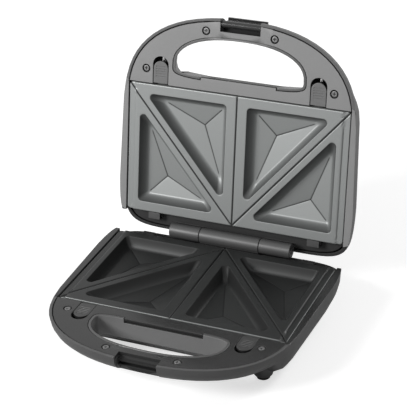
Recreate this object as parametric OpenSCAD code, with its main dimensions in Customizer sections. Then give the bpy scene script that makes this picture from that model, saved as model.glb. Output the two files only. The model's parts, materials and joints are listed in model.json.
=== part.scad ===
// Sandwich toaster for two slices, shown open: a base and a hinged lid that
// mirror each other, each with a moulded housing, an inner frame that carries
// the handle face, a removable cooking plate and a heater on a metal tray.
// Millimetres. X is to the right, Y to the rear, Z up.
// A half is drawn lying on its back: its parting plane is z = 0, its plate is
// centred on x = y = 0, and everything of it lies at z < 0.

/* [Plates] */
// Width of a cooking plate
plate_w = 222; // [210:1:226]
// Depth of a cooking plate, front to rear
plate_d = 127; // [118:1:134]
// Corner radius of a cooking plate
plate_r = 3; // [2:0.5:9]
// Wall of the plate casting
plate_t = 2.6; // [2:0.1:3.4]
// Height of the skirt round a plate
skirt_h = 8.5; // [7.5:0.1:10]
// Depth of a cavity at the foot of its walls
cavity_depth = 10; // [7:0.5:11]
// How much deeper the middle of a cavity's floor is
cavity_dish = 2.5; // [1:0.1:3]
// Width of a cavity's sloping wall
cavity_slope = 7.5; // [5:0.5:9]
// Corner radius of a cavity at the face of the plate
cavity_r = 4; // [2:0.5:6]
// Width of the plate's face in front of and behind the cavities
rim_y = 9; // [7:0.5:12]
// Width of the plate's face outside the cavities
rim_x = 11.5; // [9:0.5:14]
// Width of the face on each side of the line between the slices
rim_mid = 10; // [6:0.5:12]
// Width of the ridge between the two triangles of a slice
ridge_w = 13; // [9:0.5:16]
// Width of the step down along each side of a plate
step_w = 6; // [3:0.5:8]
// Drop of that step
step_h = 1.2; // [1:0.1:2.4]

/* [Housings] */
// Reach of the housings beyond the sides of the plates
side_reach = 8.6; // [7:0.1:12]
// How much the housings narrow towards the handles
side_taper = 4; // [0:0.5:5]
// Reach of the handles in front of the plates
handle_reach = 72; // [66:1:80]
// Reach of the housings behind the plates
rear_reach = 19; // [18:0.5:22]
// Height of each housing over its plate
half_h = 36; // [35:0.5:44]
// Height of each handle half at its nose
nose_h = 20.5; // [19:0.5:24]
// Roundness of the housings' outer edge
edge_r = 19; // [14:0.5:20]
// Share of a housing's height that is rounded
edge_share = 0.88; // [0.6:0.01:0.9]
// Wall of the housings
wall = 2.6; // [2:0.1:3.2]
// Gap from the parting plane to each housing's rim
rim_gap = 0.6; // [0.4:0.1:1]
// How far the rear rims are cut back for the hinge
cut_back = 9; // [8.6:0.1:10]

/* [Handle opening] */
// Width of the opening for the fingers
grip_w = 128; // [110:1:134]
// Depth of the opening, front to rear
grip_d = 38; // [32:0.5:40]
// Distance from the plate to the opening
grip_gap = 13.5; // [12:0.5:16]
// Thickness of the collar round the opening
collar_t = 2.4; // [2:0.1:3]
// Width of the tongue that covers the collar at the middle
tongue_w = 76; // [50:1:90]
// Height of the slot under that tongue
slot_h = 1.6; // [1:0.1:2.4]

/* [Frames] */
// Thickness of the handle face
face_t = 3; // [2.4:0.1:3.6]
// Depth of the handle face under the housing's rim
face_drop = 0.3; // [0.2:0.1:0.6]
// Thickness of the rail that carries the plate
rail_t = 2.5; // [2:0.1:3.5]
// Width of the rail inside the plate's edge at the sides
rail_x = 7; // [5:0.5:8]
// Width of the rail inside the plate's edge at front and rear
rail_y = 4.4; // [3:0.1:5]

/* [Hinge] */
// Distance from the plates to the hinge axis
hinge_gap = 14.5; // [13.5:0.1:15]
// Radius of the hinge barrel
barrel_r = 7.2; // [6:0.1:7.5]
// Length of the whole barrel
barrel_w = 124; // [110:1:130]
// Length of the base's knuckle
knuckle_w = 61; // [50:1:70]
// Radius of the hinge pin
hinge_pin_r = 2.5; // [2:0.1:3]
// Angle at which the open lid stands
open_angle = 102; // [98:1:104]

/* [Latch] */
// Width of the notch in each handle's nose
notch_w = 40; // [34:1:46]
// Depth of the notch at the lid's face
notch_d = 13; // [12:0.5:14]
// Depth of the notch at the base's face
catch_d = 11.3; // [10.5:0.1:12]
// Distance from the handle's nose to the clip's pin
latch_y = 6.4; // [6:0.1:7]
// Height of the clip's pin over the parting plane
latch_z = 5; // [4.6:0.1:5.4]
// Radius of the clip's pin
latch_pin_r = 1.5; // [1.2:0.1:1.8]
// Radius of the clip's root
clip_root_r = 3.3; // [2.8:0.1:3.5]
// Thickness of the clip
clip_t = 2.4; // [2:0.1:2.8]
// Depth of the catch under the parting plane
catch_z = 8; // [7.6:0.1:9]
// How far the clip's hook reaches under the catch
hook_reach = 3; // [2.4:0.1:3.2]

/* [Plate release] */
// Distance from the opening to the release tabs
tab_gap = 7.6; // [6.5:0.1:10]
// Width of a release tab
tab_w = 14.8; // [12:0.1:16]
// Length of a release tab
tab_l = 21.5; // [19:0.5:23]
// Travel of a release tab
tab_travel = 4; // [3:0.1:4.5]
// Reach of the plate's catches and lugs
lug_reach = 2.8; // [2.2:0.1:3]
// Distance of the rear hooks from the sides of the plates
hook_side = 29; // [25:0.5:35]

/* [Screws and feet] */
// Distance from the release tabs to the outer handle screws
screw_gap = 7.6; // [6:0.1:9]
// Distance of the outer handle screws from the plate
screw_y1 = 15; // [13:0.5:17]
// Distance of the inner handle screws from the middle
screw_x2 = 34; // [30:0.5:38]
// Distance of the inner handle screws from the plate
screw_y2 = 58; // [57:0.5:59]
// Radius of a screw's shank
screw_r = 1.5; // [1.2:0.1:1.8]
// Height of a foot
foot_h = 4; // [3:0.5:6]
// Radius of a foot
foot_r = 7; // [6:0.5:8]
// Distance of the front feet from the sides of the housing
foot_side = 30; // [28:1:40]
// Distance of the rear feet from the sides of the housing
foot_side_rear = 42; // [38:1:50]

/* [Inside] */
// Radius of the heating tube
heater_r = 3.2; // [2.8:0.1:3.6]
// Sheet thickness of the trays
sheet_t = 0.8; // [0.6:0.1:1]
// Radius of the indicator lenses
lamp_r = 4.5; // [3.5:0.5:5.5]
// Distance of the indicator lenses from the middle
lamp_x = 14; // [10:1:24]
// Radius of the cable inlet
gland_r = 6; // [5:0.5:7]

/* [Hidden] */
$fn = 48;
eps = 0.01;

play = 0.3;              // clearance of moving pieces
draft = 0.4;             // taper of the housings' upright walls
run_fit = 0.05;          // radial clearance on the pins
seam = 0.4;              // gap between a frame and its housing
front_n = 2.37;          // squareness of the handle's outline
rear_n = 10;             // squareness of the rear outline
outline_step = 5.5;      // degrees between points of an outline
edge_steps = 6;          // facets round the housings' edge
grip_front_n = 2.3;      // squareness of the opening in front
grip_rear_n = 4.5;       // squareness of the opening at the rear
grip_lean = 0.77;        // share of the opening in front of its widest place
rim_clear = 0.9;         // gap between a plate and the rims beside it

// Places along X
body_w = plate_w + 2 * side_reach;
tab_x = grip_w / 2 + tab_gap + tab_w / 2;
screw_x1 = tab_x + tab_w / 2 + screw_gap;
hook_x = plate_w / 2 - hook_side;
foot_x1 = body_w / 2 - foot_side;
foot_x2 = body_w / 2 - foot_side_rear;
gland_x = 0;
clip_w = notch_w - 2 * play;
knuckle_gap = 0.5;
lid_in = knuckle_w / 2 + knuckle_gap;    // inner ends of the lid's knuckles

// Places along Y
plate_front = -plate_d / 2;
plate_rear = plate_d / 2;
waist_y = plate_front + 14;              // where the outline is widest
nose_y = plate_front - handle_reach;
rear_y = plate_rear + rear_reach;
hinge_y = plate_rear + hinge_gap;
grip_rear = plate_front - grip_gap;
slope_start = grip_rear - 3;             // from here the handle grows deeper
slope_end = plate_front + 1.5;           // and here it has the body's full height
lamp_y = plate_front + 13;
face_edge = plate_front - 0.8;           // rear edge of the handle face
pin_y = nose_y + latch_y;
foot_y1 = plate_front - 2.5;
foot_y2 = plate_rear - 8;

// Heights in a half
plate_top = -rim_gap / 2;
face_top = -rim_gap - face_drop;
face_low = face_top - face_t;
rail_top = plate_top - skirt_h - 0.2;
rail_low = rail_top - rail_t;
bump_low = plate_top - cavity_depth - cavity_dish - plate_t;
heater_z = bump_low - play - heater_r;
saddle_top = heater_z - heater_r - 0.1;
tray_z = saddle_top - 1.4;               // inside of the tray's bottom
tray_low = tray_z - sheet_t;
floor_z = -half_h + wall;
gland_z = rail_low - play - gland_r - 1.8;
tray_x = plate_w / 2 - rail_x - 1;
tray_y = plate_d / 2 - rail_y - 0.8;

// The open lid's reach to the rear, for the frame's origin
function lid_y(y, z) = hinge_y + (y - hinge_y) * cos(open_angle) + z * sin(open_angle);
lid_back = max([for (y = [plate_front - 30 : 2 : plate_front + 20])
  lid_y(y, shell_depth(y, half_h, nose_h))]);
shift_y = -(nose_y + lid_back) / 2;
parting_z = half_h + foot_h;

// ---------------------------------------------------------------- outlines

// A point of an oval whose front and rear halves have their own reach and squareness
function oval_pt(t, a, front, rear, fn_, rn, yc) =
  let (n = t < 0 ? fn_ : rn, b = t < 0 ? front : rear)
  [a * pow(abs(cos(t)), 2 / n), yc + sign(t) * b * pow(abs(sin(t)), 2 / n)];

// The housing widens from the handle to the middle of the plate
function swell(y) = 1 + 2 * side_taper / body_w * smooth((y - plate_front + 10) / 60);

// The right half of the housing's outline, from the nose to the rear, drawn in by e
function right_side(e) = [for (t = [-88 : outline_step : 88])
  let (p = oval_pt(t, body_w / 2 - side_taper - e, waist_y - nose_y - e, rear_y - waist_y - e,
                   front_n, rear_n, waist_y))
  [p.x * swell(p.y), p.y]];

function both_sides(half) = concat(half,
  [for (i = [len(half) - 1 : -1 : 0]) [-half[i].x, half[i].y]]);

module outline(e) { polygon(both_sides(right_side(e))); }

// The finger opening, grown by e
module grip(e) {
  front = grip_d * grip_lean;
  rear = grip_d - front;
  polygon(both_sides([for (t = [-86 : 8 : 90])
    oval_pt(min(t, 87), grip_w / 2 + e, front + e, rear + e,
            grip_front_n, grip_rear_n, grip_rear - rear)]));
}

// A plate that ends in a half circle at the front
module tombstone(w, rear, front) {
  translate([-w / 2, front + w / 2]) square([w, rear - front - w / 2]);
  translate([0, front + w / 2]) circle(d = w);
}

module round_rect(w, d, r) {
  for (x = [-1, 1], y = [-1, 1])
    translate([x * (w / 2 - r), y * (d / 2 - r)]) circle(r);
  square([w - 2 * r, d], center = true);
  square([w, d - 2 * r], center = true);
}

// ---------------------------------------------------------------- housing

function smooth(s) = let (c = min(1, max(0, s))) c * c * (3 - 2 * c);

// Depth of the housing at y: behind the opening the handle passes into the body
function shell_depth(y, body, nose) =
  nose + (body - nose) * smooth((y - slope_start) / (slope_end - slope_start));

// Rings of the housing's form, from its rim to its flat back: [inset, share of the edge]
function ring_form(e) = concat([[e, 0]],
  [for (k = [0 : edge_steps]) let (a = 90 * k / edge_steps)
    [e + draft + edge_r * (1 - cos(a)), 1 + sin(a)]]);

// Height of a ring's point: a straight wall, then a quarter ellipse
function ring_z(share, depth) = let (edge = edge_share * depth)
  share < 1 ? 0 : -(depth - edge) - edge * (share - 1);

module housing_form(e, skin, top) {
  form = ring_form(e);
  side = right_side(0);
  m = len(side);
  n = 2 * m;
  rings = [for (k = [0 : len(form) - 1]) let (pts = both_sides(right_side(form[k][0])))
    [for (i = [0 : n - 1]) [pts[i].x, pts[i].y,
      k == 0 ? top
             : ring_z(form[k][1], shell_depth(pts[i].y - skin, half_h - skin, nose_h - skin))]]];
  points = [for (r = rings) each r];
  last = (len(form) - 1) * n;
  walls = [for (k = [0 : len(form) - 2], i = [0 : n - 1])
    let (a = k * n + i, b = k * n + (i + 1) % n) each [[a, b, b + n], [a, b + n, a + n]]];
  back = [for (i = [0 : m - 2])
    [last + i, last + i + 1, last + n - 2 - i, last + n - 1 - i]];
  polyhedron(points, concat([[for (i = [n - 1 : -1 : 0]) i]], walls, back));
}

module at_screws() {
  for (s = [-1, 1]) {
    translate([s * screw_x1, plate_front - screw_y1, 0]) children();
    translate([s * screw_x2, plate_front - screw_y2, 0]) children();
  }
}

module at_posts() {
  for (x = [-1, 1], y = [-1, 1])
    translate([x * (tray_x - 14), y * (tray_y - 14), 0]) children();
}

module at_feet() {
  for (s = [-1, 1]) {
    translate([s * foot_x1, foot_y1, 0]) children();
    translate([s * foot_x2, foot_y2, 0]) children();
  }
}

// The solid block behind the notch in the handle's nose
module nose_block(low) {
  translate([-notch_w / 2 - 3, nose_y, low])
    cube([notch_w + 6, handle_reach - grip_gap - grip_d - collar_t / 2, face_low - 0.1 - low]);
}

module cut_slab(w, y0, y1, z0, z1) {
  translate([-w / 2, y0, z0]) cube([w, y1 - y0, z1 - z0]);
}

// The rims beside the plate are solid, so only a narrow gap stays round it
module side_rims() {
  for (s = [0, 1]) mirror([s, 0, 0])
    translate([plate_w / 2 + rim_clear, plate_front - seam, rail_top + play])
      cube([2 * side_reach, plate_d + 3, skirt_h + 2]);
}

module housing() {
  difference() {
    housing_form(0, 0, -rim_gap);
    difference() {
      housing_form(wall, wall, 1);
      translate([0, 0, -half_h - 1]) linear_extrude(half_h + 1 - rim_gap - face_drop)
        grip(collar_t);
      nose_block(-half_h);
      side_rims();
      at_screws() translate([0, 0, -half_h]) cylinder(r = screw_r + 2.4, h = half_h + face_low);
      at_posts() translate([0, 0, -half_h]) cylinder(r = 3.5, h = half_h + tray_low);
    }
    translate([0, 0, -half_h - 1]) linear_extrude(half_h + 2) grip(0);
    // the tongue of the frame covers the collar here, over a narrow slot
    cut_slab(tongue_w + 2 * seam, grip_rear - 5, grip_rear + collar_t + 0.2,
             face_low - slot_h, 1);
    at_screws() translate([0, 0, face_low - 10]) cylinder(r = screw_r, h = 12);
    cut_slab(body_w + 2, plate_rear + 2, rear_y + 5, -cut_back, 1);
  }
}

// ---------------------------------------------------------------- frame

module release_slots() {
  for (s = [-1, 1]) translate([s * tab_x, 0, 0]) {
    translate([0, 0, face_low - 1]) linear_extrude(face_t + 3)
      tombstone(tab_w + 2 * play, plate_front, plate_front - 2 - tab_l - tab_travel - play);
    // window for the tab's tongue and the plate's lug
    cut_slab(tab_w + 2 * play, plate_front - 4, plate_front + 1, rail_top - eps, 1);
  }
}

module frame_face(notch_depth) {
  difference() {
    translate([0, 0, face_low]) linear_extrude(face_t) difference() {
      intersection() {
        outline(wall + draft + seam);
        translate([-body_w, nose_y - 1]) square([2 * body_w, face_edge - nose_y + 1]);
      }
      difference() {
        grip(collar_t + seam);
        translate([-tongue_w / 2, grip_rear]) square([tongue_w, 10]);
      }
      translate([-notch_w / 2, nose_y - 1]) square([notch_w, notch_depth + 1]);
    }
    at_screws() {
      translate([0, 0, face_low - 1]) cylinder(r = screw_r + 0.2, h = face_t + 2);
      translate([0, 0, face_top - 1.5]) cylinder(r = 3.7, h = 3);
    }
  }
}

// Rail under the plate's skirt, the shelf behind it, and the wall at the plate's front
module frame_rail() {
  difference() {
    translate([0, 0, rail_low]) linear_extrude(rail_t) difference() {
      intersection() {
        outline(wall + seam + 1.6);
        translate([-body_w, plate_front - 2.8]) square([2 * body_w, plate_d + 60]);
      }
      square([plate_w - 2 * rail_x, plate_d - 2 * rail_y], center = true);
    }
    for (s = [-1, 1]) translate([s * hook_x, plate_rear + 3, rail_low - 1])
      cylinder(r = 1.2, h = 10);
  }
  translate([0, 0, rail_low]) linear_extrude(face_top - rail_low) intersection() {
    outline(wall + seam + 1.6);
    translate([-body_w, plate_front - 2.8]) square([2 * body_w, 2]);
  }
}

// A knuckle of the hinge on its web, from x0 to x1
module knuckle(x0, x1, bore) {
  difference() {
    union() {
      translate([x0, hinge_y, 0]) rotate([0, 90, 0]) cylinder(r = barrel_r, h = x1 - x0);
      translate([x0, hinge_y - 5, rail_low])
        cube([x1 - x0, rear_y - wall - seam - 1 - hinge_y + 5, -rail_low - 2]);
    }
    translate([x0 - 1, hinge_y, 0]) rotate([0, 90, 0]) cylinder(r = bore, h = x1 - x0 + 2);
  }
}

// Clears the rail and the housing round the other half's knuckles
module knuckle_room(x0, x1) {
  translate([x0 - play, hinge_y, 0]) rotate([0, 90, 0])
    cylinder(r = barrel_r + 0.8, h = x1 - x0 + 2 * play);
}

module frame(notch_depth) {
  difference() {
    union() {
      frame_face(notch_depth);
      frame_rail();
    }
    release_slots();
  }
}

// ---------------------------------------------------------------- plate

// Corners of the two cavities of the right-hand slice, at the plate's face
slice_x = plate_w / 2;
diag = [slice_x, -plate_d];                        // from the rear middle to the front corner
diag_n = [plate_d, slice_x] / norm(diag);          // its normal, to the rear and outside
function line_x(y, off) = (off - diag_n.y * (y - plate_rear)) / diag_n.x;
function line_y(x, off) = plate_rear + (off - diag_n.x * x) / diag_n.y;
front_y = plate_front + rim_y;
back_y = plate_rear - rim_y;
side_x = plate_w / 2 - rim_x;
half_ridge = ridge_w / 2;
inner_tri = [[rim_mid, front_y], [line_x(front_y, -half_ridge), front_y],
             [rim_mid, line_y(rim_mid, -half_ridge)]];
outer_tri = [[side_x, back_y], [line_x(back_y, half_ridge), back_y],
             [side_x, line_y(side_x, half_ridge)]];

// Inside circle of a triangle: [centre, radius]
function in_circle(t) = let (
    a = norm(t[1] - t[2]), b = norm(t[2] - t[0]), c = norm(t[0] - t[1]), p = a + b + c)
  [(a * t[0] + b * t[1] + c * t[2]) / p,
   abs((t[1].x - t[0].x) * (t[2].y - t[0].y) - (t[2].x - t[0].x) * (t[1].y - t[0].y)) / p];

// The triangle drawn in by e keeps its centre, and each corner gets an arc of radius r
function drawn_in(t, e) = let (ic = in_circle(t), s = (ic[1] - e) / ic[1])
  [for (p = t) ic[0] + s * (p - ic[0])];
function arc_corner(p, a, b, r, k) = let (
    u = (a - p) / norm(a - p), v = (b - p) / norm(b - p), w = (u + v) / norm(u + v),
    half = acos(u * v) / 2, c = p + w * r / sin(half),
    from = -u_perp(u, w), to = -u_perp(v, w))
  [for (i = [0 : k]) let (d = from * (k - i) / k + to * i / k) c + r * d / norm(d)];
function u_perp(u, toward) = let (n = [-u.y, u.x]) n * toward > 0 ? n : -n;
function turn(t) = (t[1].x - t[0].x) * (t[2].y - t[0].y)
                 - (t[2].x - t[0].x) * (t[1].y - t[0].y) > 0 ? t : [t[0], t[2], t[1]];
function soft_triangle(t, e, r, k) = let (q = drawn_in(turn(t), e))
  [for (i = [0 : 2]) each arc_corner(q[i], q[(i + 2) % 3], q[(i + 1) % 3], r, k)];

arc_k = 4;
wall_rings = 4;

// Height of a cavity's wall: steep at its lip and hollow towards its foot
function cavity_z(share, skin) = plate_top - skin / 2 - (cavity_depth + skin / 2) * sin(90 * share);

// A cavity, or with skin > 0 the casting round it: curved walls and a dished floor
module cavity(t, skin, top) {
  shares = [for (j = [0 : wall_rings]) j / wall_rings];
  rings = concat(
    skin > 0 ? [] : [[for (p = soft_triangle(t, 0, cavity_r, arc_k)) [p.x, p.y, top]]],
    [for (f = shares)
      [for (p = soft_triangle(t, f * cavity_slope - skin, cavity_r * (1 - f / 2) + skin, arc_k))
        [p.x, p.y, cavity_z(f, skin)]]]);
  n = 3 * (arc_k + 1);
  ic = in_circle(t)[0];
  points = concat([for (r = rings) each r],
    [[ic.x, ic.y, plate_top - cavity_depth - cavity_dish - skin]]);
  k_last = (len(rings) - 1) * n;
  walls = [for (k = [0 : len(rings) - 2], i = [0 : n - 1])
    let (a = k * n + i, b = k * n + (i + 1) % n) each [[a, b, b + n], [a, b + n, a + n]]];
  polyhedron(points, concat([[for (i = [n - 1 : -1 : 0]) i]], walls,
    [for (i = [0 : n - 1]) [k_last + i, k_last + (i + 1) % n, len(points) - 1]]));
}

module all_cavities(skin, top) {
  for (s = [0, 1]) mirror([s, 0, 0]) {
    cavity(inner_tri, skin, top);
    cavity(outer_tri, skin, top);
  }
}

module face_groove(length, wide) {
  translate([-wide / 2, 0, plate_top - 0.7]) cube([wide, length, 2]);
}

// Hollow under the plate, drawn in at the sides by e, up to a given height
module pocket(e, top) {
  low = plate_top - skirt_h - 1;
  translate([0, 0, low]) linear_extrude(top - low)
    round_rect(plate_w - 2 * e, plate_d - 2 * plate_t, plate_r - 1);
}

module plate_half() {
  under = plate_top - plate_t;
  difference() {
    union() {
      translate([0, 0, plate_top - skirt_h]) linear_extrude(skirt_h)
        round_rect(plate_w, plate_d, plate_r);
      all_cavities(plate_t, 0);
      for (s = [-1, 1]) {
        translate([s * tab_x - 4.5, plate_front - lug_reach, plate_top - skirt_h + 0.8])
          cube([9, lug_reach + 1, 2]);
        translate([s * hook_x - 5, plate_rear - 1, plate_top - 5])
          cube([10, lug_reach + 1, 2]);
      }
    }
    difference() {
      union() {
        pocket(plate_t, plate_top - step_h - plate_t);
        pocket(step_w + plate_t, under);
      }
      all_cavities(plate_t, 0);
    }
    all_cavities(0, plate_top + 1);
    for (s = [-1, 1]) translate([s * (plate_w / 2 - step_w / 2 + 1), 0, plate_top + 1 - step_h / 2])
      cube([step_w + 2, plate_d + 2, step_h + 2 - 0.001], center = true);
    translate([0, plate_front - 1, 0]) face_groove(plate_d + 2, 1.2);
    for (s = [-1, 1]) translate([0, plate_rear, 0])
      rotate([0, 0, s * atan2(slice_x, plate_d) + 180]) face_groove(norm(diag), 1.2);
  }
}

// ---------------------------------------------------------------- heater and tray

heater_bend = tray_y - 24;
heater_end = tray_x - 34;                          // where the straight legs end
heater_turn = tray_x - 8 - heater_r - heater_bend; // centre of the half turn

module heater_half() {
  translate([0, 0, heater_z]) {
    for (s = [-1, 1]) {
      translate([-heater_turn, s * heater_bend, 0]) rotate([0, 90, 0])
        cylinder(r = heater_r, h = heater_turn + heater_end + 14);
      translate([heater_end + 14, s * heater_bend, 0]) rotate([0, 90, 0])
        cylinder(r = 1.2, h = 10);
    }
    translate([-heater_turn, 0, 0]) rotate([0, 0, 90])
      rotate_extrude(angle = 180) translate([heater_bend, 0]) circle(heater_r);
  }
}

module tray_half() {
  difference() {
    union() {
      translate([0, 0, tray_low]) linear_extrude(rail_low - tray_low)
        round_rect(2 * tray_x, 2 * tray_y, 6);
      translate([0, 0, rail_low - sheet_t]) linear_extrude(sheet_t)
        round_rect(2 * tray_x + 8, 2 * tray_y + 6, 8);
    }
    translate([0, 0, tray_z]) linear_extrude(40)
      round_rect(2 * (tray_x - sheet_t), 2 * (tray_y - sheet_t), 6 - sheet_t);
  }
  // saddles under the heating tube
  for (x = [-1, 1], y = [-1, 1])
    translate([x * heater_end * 0.6 - 4, y * heater_bend - 5, tray_z - eps])
      cube([8, 10, saddle_top - tray_z + eps]);
}

// ---------------------------------------------------------------- release, hooks, screws

tab_low = face_low - play - 1.4;

module release_tab() {
  rear = plate_front - 2;
  difference() {
    union() {
      translate([0, 0, face_low - play - eps]) linear_extrude(face_top - 0.2 - face_low + play + eps)
        tombstone(tab_w, rear, rear - tab_l);
      translate([-tab_w / 2 - 2, rear - tab_l + 3, tab_low]) cube([tab_w + 4, tab_l - 4, 1.4]);
      translate([-4, rear - 2, tab_low]) cube([8, 3.4, 1.4]);
      // post that the spring pushes on
      translate([-3, rear - tab_l + 3, tab_low - 5]) cube([6, 2.5, 5 + eps]);
    }
    for (i = [0 : 4]) translate([-tab_w / 2 + 2.5, rear - 7 - 2.4 * i, face_top - 0.7])
      cube([tab_w - 5, 1.1, 2]);
  }
}

spring_gap = tab_travel + 5;

// Compression spring between the tab's post and the stop on the housing
module release_spring() {
  front = plate_front - 2 - tab_l + 3;
  translate([0, front, tab_low - 2.6]) rotate([90, 0, 0]) difference() {
    cylinder(r = 2.2, h = spring_gap);
    translate([0, 0, -1]) cylinder(r = 1.5, h = spring_gap + 2);
  }
}

// The stop stands under the handle face
module spring_stops() {
  front = plate_front - 2 - tab_l + 3 - spring_gap;
  for (s = [-1, 1]) translate([s * tab_x - 4, front - 2, tab_low - 5.4])
    cube([8, 2, face_low - tab_low + 5.4 + eps]);
}

// Sheet-metal hook that holds the plate's rear lug down
module rear_hook() {
  lug_top = plate_top - 3;
  w = 12;
  translate([-w / 2, plate_rear + 0.8, rail_top]) cube([w, 6.4, 1.2]);
  translate([-w / 2, plate_rear + 6, rail_top]) cube([w, 1.2, lug_top + play + 1.2 - rail_top]);
  translate([-w / 2, plate_rear + 0.8, lug_top + play]) cube([w, 6.4, 1.2]);
  translate([0, plate_rear + 3, rail_low - 1.5]) cylinder(r = 1.2, h = rail_top - rail_low + 2.4);
}

module screw() {
  head_top = face_top - 0.3;
  difference() {
    union() {
      translate([0, 0, face_low - 9]) cylinder(r = screw_r, h = face_top - face_low + 8);
      translate([0, 0, face_top - 1.5]) cylinder(r1 = 3.3, r2 = 2.7, h = 1.2);
    }
    for (a = [0, 90]) rotate([0, 0, a]) translate([-1.7, -0.35, head_top - 0.8]) cube([3.4, 0.7, 2]);
  }
}

// ---------------------------------------------------------------- places

module in_base() { translate([0, shift_y, parting_z]) children(); }

module in_lid() {
  translate([0, shift_y + hinge_y, parting_z]) rotate([-open_angle, 0, 0])
    translate([0, -hinge_y, 0]) mirror([0, 0, 1]) children();
}

// ---------------------------------------------------------------- base

module base_shell() {
  color("#2e3032") in_base() difference() {
    union() {
      housing();
      at_feet() translate([0, 0, -half_h]) cylinder(r = foot_r + 1.6, h = wall + 6);
      legs();
      translate([gland_x, rear_y - 7.5, gland_z]) rotate([-90, 0, 0])
        cylinder(r = gland_r + 1.6, h = 7.8);
    }
    at_feet() translate([0, 0, -half_h - 1]) cylinder(r = 2, h = wall + 5);
    base_notch(-half_h - 1);
    for (i = [-4 : 4]) translate([i * 9 - 1.5, plate_front + 30, -half_h - 1])
      cube([3, 34, wall + 2]);
    translate([gland_x, rear_y - 12, gland_z]) rotate([-90, 0, 0]) {
      cylinder(r = gland_r, h = 20);
      translate([0, 0, -2]) cylinder(r = gland_r + 1.7, h = 6.5);
    }
    knuckle_room(-barrel_w / 2, barrel_w / 2);
  }
}

// The front feet stand before the body's front wall, so each has a leg up to the handle
module legs() {
  difference() {
    for (s = [-1, 1]) translate([s * foot_x1, foot_y1, -half_h])
      cylinder(r = foot_r + 1.6, h = half_h - nose_h + wall);
    housing_form(wall, wall, 1);
  }
}

// Front notch of the base: the clip hooks under the upper bar
module base_notch(low) {
  back = nose_y + catch_d;
  difference() {
    cut_slab(notch_w, nose_y - 5, back, low, 1);
    cut_slab(notch_w + 2, pin_y + clip_t / 2 + play, back + 1, -catch_z, -catch_z + 2);
    cut_slab(notch_w + 2, pin_y + clip_t / 2 + play, back + 1, -catch_z - 4.8, -catch_z - 3.4);
  }
}

module base_frame() {
  color("#3a3c3e") in_base() {
    frame(catch_d);
    spring_stops();
    knuckle(-knuckle_w / 2, knuckle_w / 2, hinge_pin_r);
  }
}

module base_plate() { color("#2f3231") in_base() plate_half(); }
module base_heater() { color("#8a8a86") in_base() heater_half(); }
module base_tray() { color("#b9bcbe") in_base() tray_half(); }

module release(s) { color("#3f4143") translate([s * tab_x, 0, 0]) release_tab(); }
module spring(s) { color("#c0c4c8") translate([s * tab_x, 0, 0]) release_spring(); }
module hook(s) { color("#55585a") translate([s * hook_x, 0, 0]) rear_hook(); }

module base_release_left() { in_base() release(-1); }
module base_release_right() { in_base() release(1); }
module base_spring_left() { in_base() spring(-1); }
module base_spring_right() { in_base() spring(1); }
module base_hook_left() { in_base() hook(-1); }
module base_hook_right() { in_base() hook(1); }
module base_screws() { color("#77797b") in_base() at_screws() screw(); }

module foot(x, y) {
  color("#1c1c1c") in_base() translate([x, y, -half_h]) {
    translate([0, 0, -foot_h]) cylinder(r1 = foot_r - 1, r2 = foot_r, h = foot_h);
    cylinder(r = 2, h = wall + 2);
  }
}

module foot_front_left() { foot(-foot_x1, foot_y1); }
module foot_front_right() { foot(foot_x1, foot_y1); }
module foot_rear_left() { foot(-foot_x2, foot_y2); }
module foot_rear_right() { foot(foot_x2, foot_y2); }

module cable_gland() {
  color("#202122") in_base() translate([gland_x, rear_y, gland_z]) rotate([-90, 0, 0])
    difference() {
      union() {
        translate([0, 0, -8.5]) cylinder(r = gland_r, h = 9);
        translate([0, 0, 0.3]) cylinder(r = gland_r + 1.4, h = 2);
        translate([0, 0, -9.5]) cylinder(r = gland_r + 1.4, h = 2);
      }
      translate([0, 0, -12]) cylinder(r = 3.3, h = 20);
    }
}

module terminal_block() {
  color("#d8d4c6") in_base() translate([26, plate_rear - 30, floor_z]) difference() {
    cube([30, 14, 8]);
    for (i = [0 : 2]) translate([6 + 9 * i, 7, 3]) cylinder(r = 2, h = 6);
  }
}

module thermostat() {
  color("#9a9da0") in_base() translate([0, 20, tray_low - 7]) {
    cylinder(r = 8, h = 7);
    translate([-11, -3, 6]) cube([22, 6, 1]);
  }
}

module hinge_pin() {
  color("#b8bbbe") in_base() translate([-barrel_w / 2 + 1, hinge_y, 0]) rotate([0, 90, 0])
    cylinder(r = hinge_pin_r, h = barrel_w - 2);
}

// ---------------------------------------------------------------- lid

module lid_shell() {
  color("#2e3032") in_lid() difference() {
    housing();
    lid_notch(-half_h - 1);
    for (s = [-1, 1]) translate([s * lamp_x, lamp_y, -half_h - 1])
      cylinder(r = lamp_r, h = wall + 2);
    knuckle_room(-barrel_w / 2, barrel_w / 2);
    pin_rod(latch_pin_r);
  }
}

// Front notch of the lid: deep for the clip's root, shallower behind the folded clip
module lid_notch(low) {
  cut_slab(notch_w, nose_y - 5, nose_y + notch_d, -latch_z - clip_root_r - 0.7, 1);
  cut_slab(notch_w, nose_y - 5, pin_y + clip_t / 2 + play, low, 1);
}

// The latch pin, or with a larger radius the room for it
module pin_rod(r) {
  translate([-notch_w / 2 - 2.5, pin_y, -latch_z]) rotate([0, 90, 0]) cylinder(r = r, h = notch_w + 5);
}

module lid_frame() {
  color("#8e9294") in_lid() {
    difference() {
      frame(notch_d);
      pin_rod(latch_pin_r + run_fit);
    }
    spring_stops();
    for (s = [0, 1]) mirror([s, 0, 0]) {
      knuckle(lid_in, barrel_w / 2, hinge_pin_r + run_fit);
      // heel that rests on the base's rear rim when the lid is open
      heel();
    }
  }
}

// Stop heel, drawn where it stands when the lid is open
module heel() {
  heel_w = 16;
  heel_t = 4;
  heel_h = 6;
  mirror([0, 0, 1]) translate([0, hinge_y, 0]) rotate([open_angle, 0, 0])
    translate([lid_in + 4, 0.5, -cut_back + play]) cube([heel_w, heel_t, heel_h]);
}

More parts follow.
